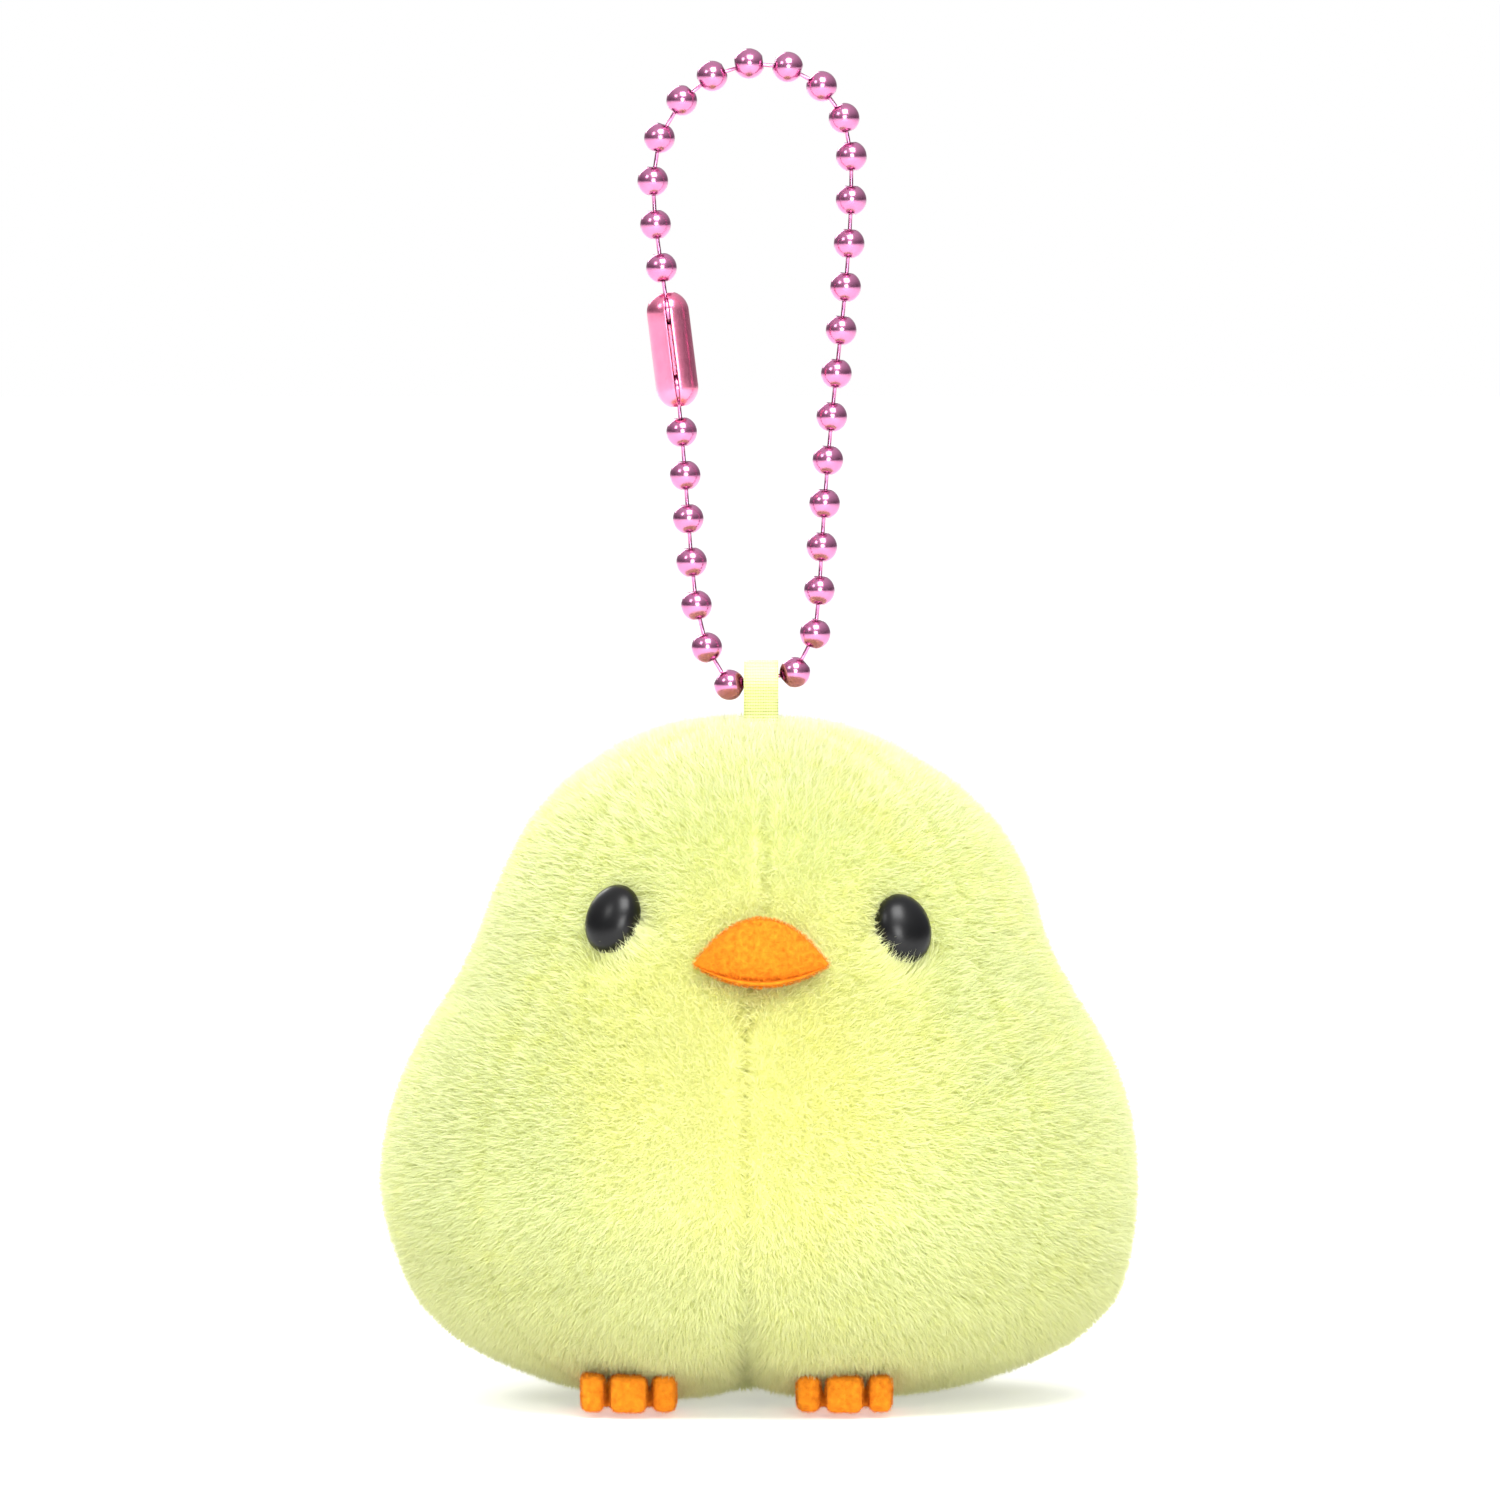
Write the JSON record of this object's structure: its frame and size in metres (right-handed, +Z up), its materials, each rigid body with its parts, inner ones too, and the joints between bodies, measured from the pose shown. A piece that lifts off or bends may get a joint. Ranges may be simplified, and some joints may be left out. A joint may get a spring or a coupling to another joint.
{
  "type": "plush keychain",
  "caption": "Round plush chick with a ribbon loop on its head and a small metal ball chain through it, closed by a barrel connector; it sits on a flat seat.",
  "frame": {"origin": "under the middle of the plush body's seat, on the surface that it sits on", "axes": "+Z up through the crown, -Y the way the face looks, +X to the right of a person who looks at the face"},
  "size_m": [0.0592, 0.0592, 0.1051],
  "materials": {
    "pile_cover": "matte",
    "stuffing": "matte",
    "eye_plastic": "gloss",
    "washer_plastic": "satin",
    "beak_felt": "matte",
    "foot_felt": "matte",
    "ribbon": "satin",
    "chain_metal": "polished",
    "connector_metal": "polished"
  },
  "bodies": {
    "plush": {"stuffing": "stuffing", "cover_front_left": "pile_cover", "cover_front_right": "pile_cover", "cover_side_left": "pile_cover", "cover_side_right": "pile_cover", "eye_left": "eye_plastic", "eye_right": "eye_plastic", "eye_washer_left": "washer_plastic", "eye_washer_right": "washer_plastic", "beak_upper": "beak_felt", "beak_lower": "beak_felt", "foot_left": "foot_felt", "foot_right": "foot_felt", "ribbon_ends": "ribbon"},
    "hang_loop": {"hang_loop": "ribbon"},
    "bead_01": {"bead_01": "chain_metal"},
    "bead_02": {"bead_02": "chain_metal"},
    "bead_03": {"bead_03": "chain_metal"},
    "bead_04": {"bead_04": "chain_metal"},
    "bead_05": {"bead_05": "chain_metal"},
    "bead_06": {"bead_06": "chain_metal"},
    "bead_07": {"bead_07": "chain_metal"},
    "bead_08": {"bead_08": "chain_metal"},
    "bead_09": {"bead_09": "chain_metal"},
    "bead_10": {"bead_10": "chain_metal"},
    "bead_11": {"bead_11": "chain_metal"},
    "bead_12": {"bead_12": "chain_metal"},
    "bead_13": {"bead_13": "chain_metal"},
    "bead_14": {"bead_14": "chain_metal"},
    "bead_15": {"bead_15": "chain_metal"},
    "bead_16": {"bead_16": "chain_metal"},
    "bead_17": {"bead_17": "chain_metal"},
    "bead_18": {"bead_18": "chain_metal"},
    "bead_19": {"bead_19": "chain_metal"},
    "bead_20": {"bead_20": "chain_metal"},
    "bead_21": {"bead_21": "chain_metal"},
    "bead_22": {"bead_22": "chain_metal"},
    "bead_23": {"bead_23": "chain_metal"},
    "bead_24": {"bead_24": "chain_metal"},
    "bead_25": {"bead_25": "chain_metal"},
    "bead_26": {"bead_26": "chain_metal"},
    "bead_27": {"bead_27": "chain_metal"},
    "bead_28": {"bead_28": "chain_metal"},
    "bead_29": {"bead_29": "chain_metal"},
    "bead_30": {"bead_30": "chain_metal"},
    "bead_31": {"bead_31": "chain_metal"},
    "bead_32": {"bead_32": "chain_metal"},
    "bead_33": {"bead_33": "chain_metal"},
    "connector": {"connector": "connector_metal"}
  },
  "joints": [
    {"name": "hang_loop_lean", "type": "hinge", "parent": "plush", "child": "hang_loop", "pos_m": [0, 0, 0.05385], "axis": [1, 0, 0], "range_deg": [-45, 45]},
    {"name": "chain_sway", "type": "hinge", "parent": "hang_loop", "child": "bead_01", "pos_m": [0.0001, 0, 0.056], "axis": [0, 1, 0], "range_deg": [-7, 15]},
    {"name": "bead_02_bend", "type": "hinge", "parent": "bead_01", "child": "bead_02", "pos_m": [0.0003, 0, 0.05604], "axis": [1, 0, 0], "range_deg": [-1.49, 1.49]},
    {"name": "bead_03_bend", "type": "hinge", "parent": "bead_02", "child": "bead_03", "pos_m": [0.00291, 0, 0.05709], "axis": [1, 0, 0], "range_deg": [-5.38, 5.38]},
    {"name": "bead_04_bend", "type": "hinge", "parent": "bead_03", "child": "bead_04", "pos_m": [0.00427, 0, 0.06016], "axis": [1, 0, 0], "range_deg": [-8.41, 8.41]},
    {"name": "chain_drape", "type": "hinge", "parent": "bead_04", "child": "bead_05", "pos_m": [0.00457, 0, 0.06353], "axis": [1, 0, 0], "range_deg": [-8.81, 8.81]},
    {"name": "bead_06_bend", "type": "hinge", "parent": "bead_05", "child": "bead_06", "pos_m": [0.00477, 0, 0.06691], "axis": [1, 0, 0], "range_deg": [-8.83, 8.83]},
    {"name": "bead_07_bend", "type": "hinge", "parent": "bead_06", "child": "bead_07", "pos_m": [0.00499, 0, 0.07029], "axis": [1, 0, 0], "range_deg": [-8.83, 8.83]},
    {"name": "bead_08_bend", "type": "hinge", "parent": "bead_07", "child": "bead_08", "pos_m": [0.00525, 0, 0.07367], "axis": [1, 0, 0], "range_deg": [-8.82, 8.82]},
    {"name": "bead_09_bend", "type": "hinge", "parent": "bead_08", "child": "bead_09", "pos_m": [0.00557, 0, 0.07705], "axis": [1, 0, 0], "range_deg": [-8.81, 8.81]},
    {"name": "bead_10_bend", "type": "hinge", "parent": "bead_09", "child": "bead_10", "pos_m": [0.00592, 0, 0.08042], "axis": [1, 0, 0], "range_deg": [-8.8, 8.8]},
    {"name": "bead_11_bend", "type": "hinge", "parent": "bead_10", "child": "bead_11", "pos_m": [0.00629, 0, 0.08378], "axis": [1, 0, 0], "range_deg": [-8.8, 8.8]},
    {"name": "bead_12_bend", "type": "hinge", "parent": "bead_11", "child": "bead_12", "pos_m": [0.00662, 0, 0.08716], "axis": [1, 0, 0], "range_deg": [-8.82, 8.82]},
    {"name": "bead_13_bend", "type": "hinge", "parent": "bead_12", "child": "bead_13", "pos_m": [0.00688, 0, 0.09054], "axis": [1, 0, 0], "range_deg": [-8.83, 8.83]},
    {"name": "bead_14_bend", "type": "hinge", "parent": "bead_13", "child": "bead_14", "pos_m": [0.00701, 0, 0.09392], "axis": [1, 0, 0], "range_deg": [-8.6, 8.6]},
    {"name": "bead_15_bend", "type": "hinge", "parent": "bead_14", "child": "bead_15", "pos_m": [0.00694, 0, 0.09712], "axis": [1, 0, 0], "range_deg": [-7.98, 7.98]},
    {"name": "bead_16_bend", "type": "hinge", "parent": "bead_15", "child": "bead_16", "pos_m": [0.00622, 0, 0.10003], "axis": [1, 0, 0], "range_deg": [-6.85, 6.85]},
    {"name": "bead_17_bend", "type": "hinge", "parent": "bead_16", "child": "bead_17", "pos_m": [0.00435, 0, 0.10237], "axis": [1, 0, 0], "range_deg": [-4.8, 4.8]},
    {"name": "bead_18_bend", "type": "hinge", "parent": "bead_17", "child": "bead_18", "pos_m": [0.00166, 0, 0.10369], "axis": [1, 0, 0], "range_deg": [-1.87, 1.87]},
    {"name": "bead_19_bend", "type": "hinge", "parent": "bead_18", "child": "bead_19", "pos_m": [-0.00134, 0, 0.10379], "axis": [1, 0, 0], "range_deg": [-1.32, 1.32]},
    {"name": "bead_20_bend", "type": "hinge", "parent": "bead_19", "child": "bead_20", "pos_m": [-0.00413, 0, 0.1027], "axis": [1, 0, 0], "range_deg": [-4.25, 4.25]},
    {"name": "bead_21_bend", "type": "hinge", "parent": "bead_20", "child": "bead_21", "pos_m": [-0.00647, 0, 0.10054], "axis": [1, 0, 0], "range_deg": [-6.72, 6.72]},
    {"name": "bead_22_bend", "type": "hinge", "parent": "bead_21", "child": "bead_22", "pos_m": [-0.00799, 0, 0.09756], "axis": [1, 0, 0], "range_deg": [-8.29, 8.29]},
    {"name": "bead_23_bend", "type": "hinge", "parent": "bead_22", "child": "bead_23", "pos_m": [-0.00838, 0, 0.0942], "axis": [1, 0, 0], "range_deg": [-8.79, 8.79]},
    {"name": "bead_24_bend", "type": "hinge", "parent": "bead_23", "child": "bead_24", "pos_m": [-0.00813, 0, 0.09082], "axis": [1, 0, 0], "range_deg": [-8.8, 8.8]},
    {"name": "bead_25_bend", "type": "hinge", "parent": "bead_24", "child": "bead_25", "pos_m": [-0.00766, 0, 0.08747], "axis": [1, 0, 0], "range_deg": [-8, 8]},
    {"name": "bead_33_bend", "type": "hinge", "parent": "bead_01", "child": "bead_33", "pos_m": [-0.0001, 0, 0.05597], "axis": [1, 0, 0], "range_deg": [-1.24, 1.24]},
    {"name": "bead_32_bend", "type": "hinge", "parent": "bead_33", "child": "bead_32", "pos_m": [-0.00277, 0, 0.05609], "axis": [1, 0, 0], "range_deg": [-2.29, 2.29]},
    {"name": "bead_31_bend", "type": "hinge", "parent": "bead_32", "child": "bead_31", "pos_m": [-0.00436, 0, 0.05906], "axis": [1, 0, 0], "range_deg": [-8.81, 8.81]},
    {"name": "bead_30_bend", "type": "hinge", "parent": "bead_31", "child": "bead_30", "pos_m": [-0.00509, 0, 0.06236], "axis": [1, 0, 0], "range_deg": [-8.72, 8.72]},
    {"name": "bead_29_bend", "type": "hinge", "parent": "bead_30", "child": "bead_29", "pos_m": [-0.00545, 0, 0.06573], "axis": [1, 0, 0], "range_deg": [-8.81, 8.81]},
    {"name": "bead_28_bend", "type": "hinge", "parent": "bead_29", "child": "bead_28", "pos_m": [-0.00571, 0, 0.06911], "axis": [1, 0, 0], "range_deg": [-8.83, 8.83]},
    {"name": "bead_27_bend", "type": "hinge", "parent": "bead_28", "child": "bead_27", "pos_m": [-0.00595, 0, 0.07249], "axis": [1, 0, 0], "range_deg": [-8.82, 8.82]},
    {"name": "bead_26_bend", "type": "hinge", "parent": "bead_27", "child": "bead_26", "pos_m": [-0.00623, 0, 0.07587], "axis": [1, 0, 0], "range_deg": [-8.04, 8.04]},
    {"name": "connector_bend", "type": "hinge", "parent": "bead_26", "child": "connector", "pos_m": [-0.00651, 0, 0.07865], "axis": [1, 0, 0], "range_deg": [-11.53, 11.53]}
  ],
  "couplings": [
    {"joint": "bead_02_bend", "follows": "chain_drape", "ratio": 0.1678},
    {"joint": "bead_03_bend", "follows": "chain_drape", "ratio": 0.6089},
    {"joint": "bead_04_bend", "follows": "chain_drape", "ratio": 0.9533},
    {"joint": "bead_06_bend", "follows": "chain_drape", "ratio": 1.001},
    {"joint": "bead_07_bend", "follows": "chain_drape", "ratio": 1.0004},
    {"joint": "bead_08_bend", "follows": "chain_drape", "ratio": 0.9993},
    {"joint": "bead_09_bend", "follows": "chain_drape", "ratio": 0.998},
    {"joint": "bead_10_bend", "follows": "chain_drape", "ratio": 0.9972},
    {"joint": "bead_11_bend", "follows": "chain_drape", "ratio": 0.9976},
    {"joint": "bead_12_bend", "follows": "chain_drape", "ratio": 0.9991},
    {"joint": "bead_13_bend", "follows": "chain_drape", "ratio": 1.0011},
    {"joint": "bead_14_bend", "follows": "chain_drape", "ratio": 0.9748},
    {"joint": "bead_15_bend", "follows": "chain_drape", "ratio": 0.9038},
    {"joint": "bead_16_bend", "follows": "chain_drape", "ratio": 0.7763},
    {"joint": "bead_17_bend", "follows": "chain_drape", "ratio": 0.5428},
    {"joint": "bead_18_bend", "follows": "chain_drape", "ratio": 0.2111},
    {"joint": "bead_19_bend", "follows": "chain_drape", "ratio": -0.1476},
    {"joint": "bead_20_bend", "follows": "chain_drape", "ratio": -0.4807},
    {"joint": "bead_21_bend", "follows": "chain_drape", "ratio": -0.7611},
    {"joint": "bead_22_bend", "follows": "chain_drape", "ratio": -0.9388},
    {"joint": "bead_23_bend", "follows": "chain_drape", "ratio": -0.9963},
    {"joint": "bead_24_bend", "follows": "chain_drape", "ratio": -0.9966},
    {"joint": "bead_25_bend", "follows": "chain_drape", "ratio": -0.9061},
    {"joint": "bead_33_bend", "follows": "chain_drape", "ratio": 0.1389},
    {"joint": "bead_32_bend", "follows": "chain_drape", "ratio": 0.2578},
    {"joint": "bead_31_bend", "follows": "chain_drape", "ratio": 0.9984},
    {"joint": "bead_30_bend", "follows": "chain_drape", "ratio": 0.9876},
    {"joint": "bead_29_bend", "follows": "chain_drape", "ratio": 0.9987},
    {"joint": "bead_28_bend", "follows": "chain_drape", "ratio": 1.0002},
    {"joint": "bead_27_bend", "follows": "chain_drape", "ratio": 0.9999},
    {"joint": "bead_26_bend", "follows": "chain_drape", "ratio": 0.9112},
    {"joint": "connector_bend", "follows": "chain_drape", "ratio": 1.3074}
  ]
}
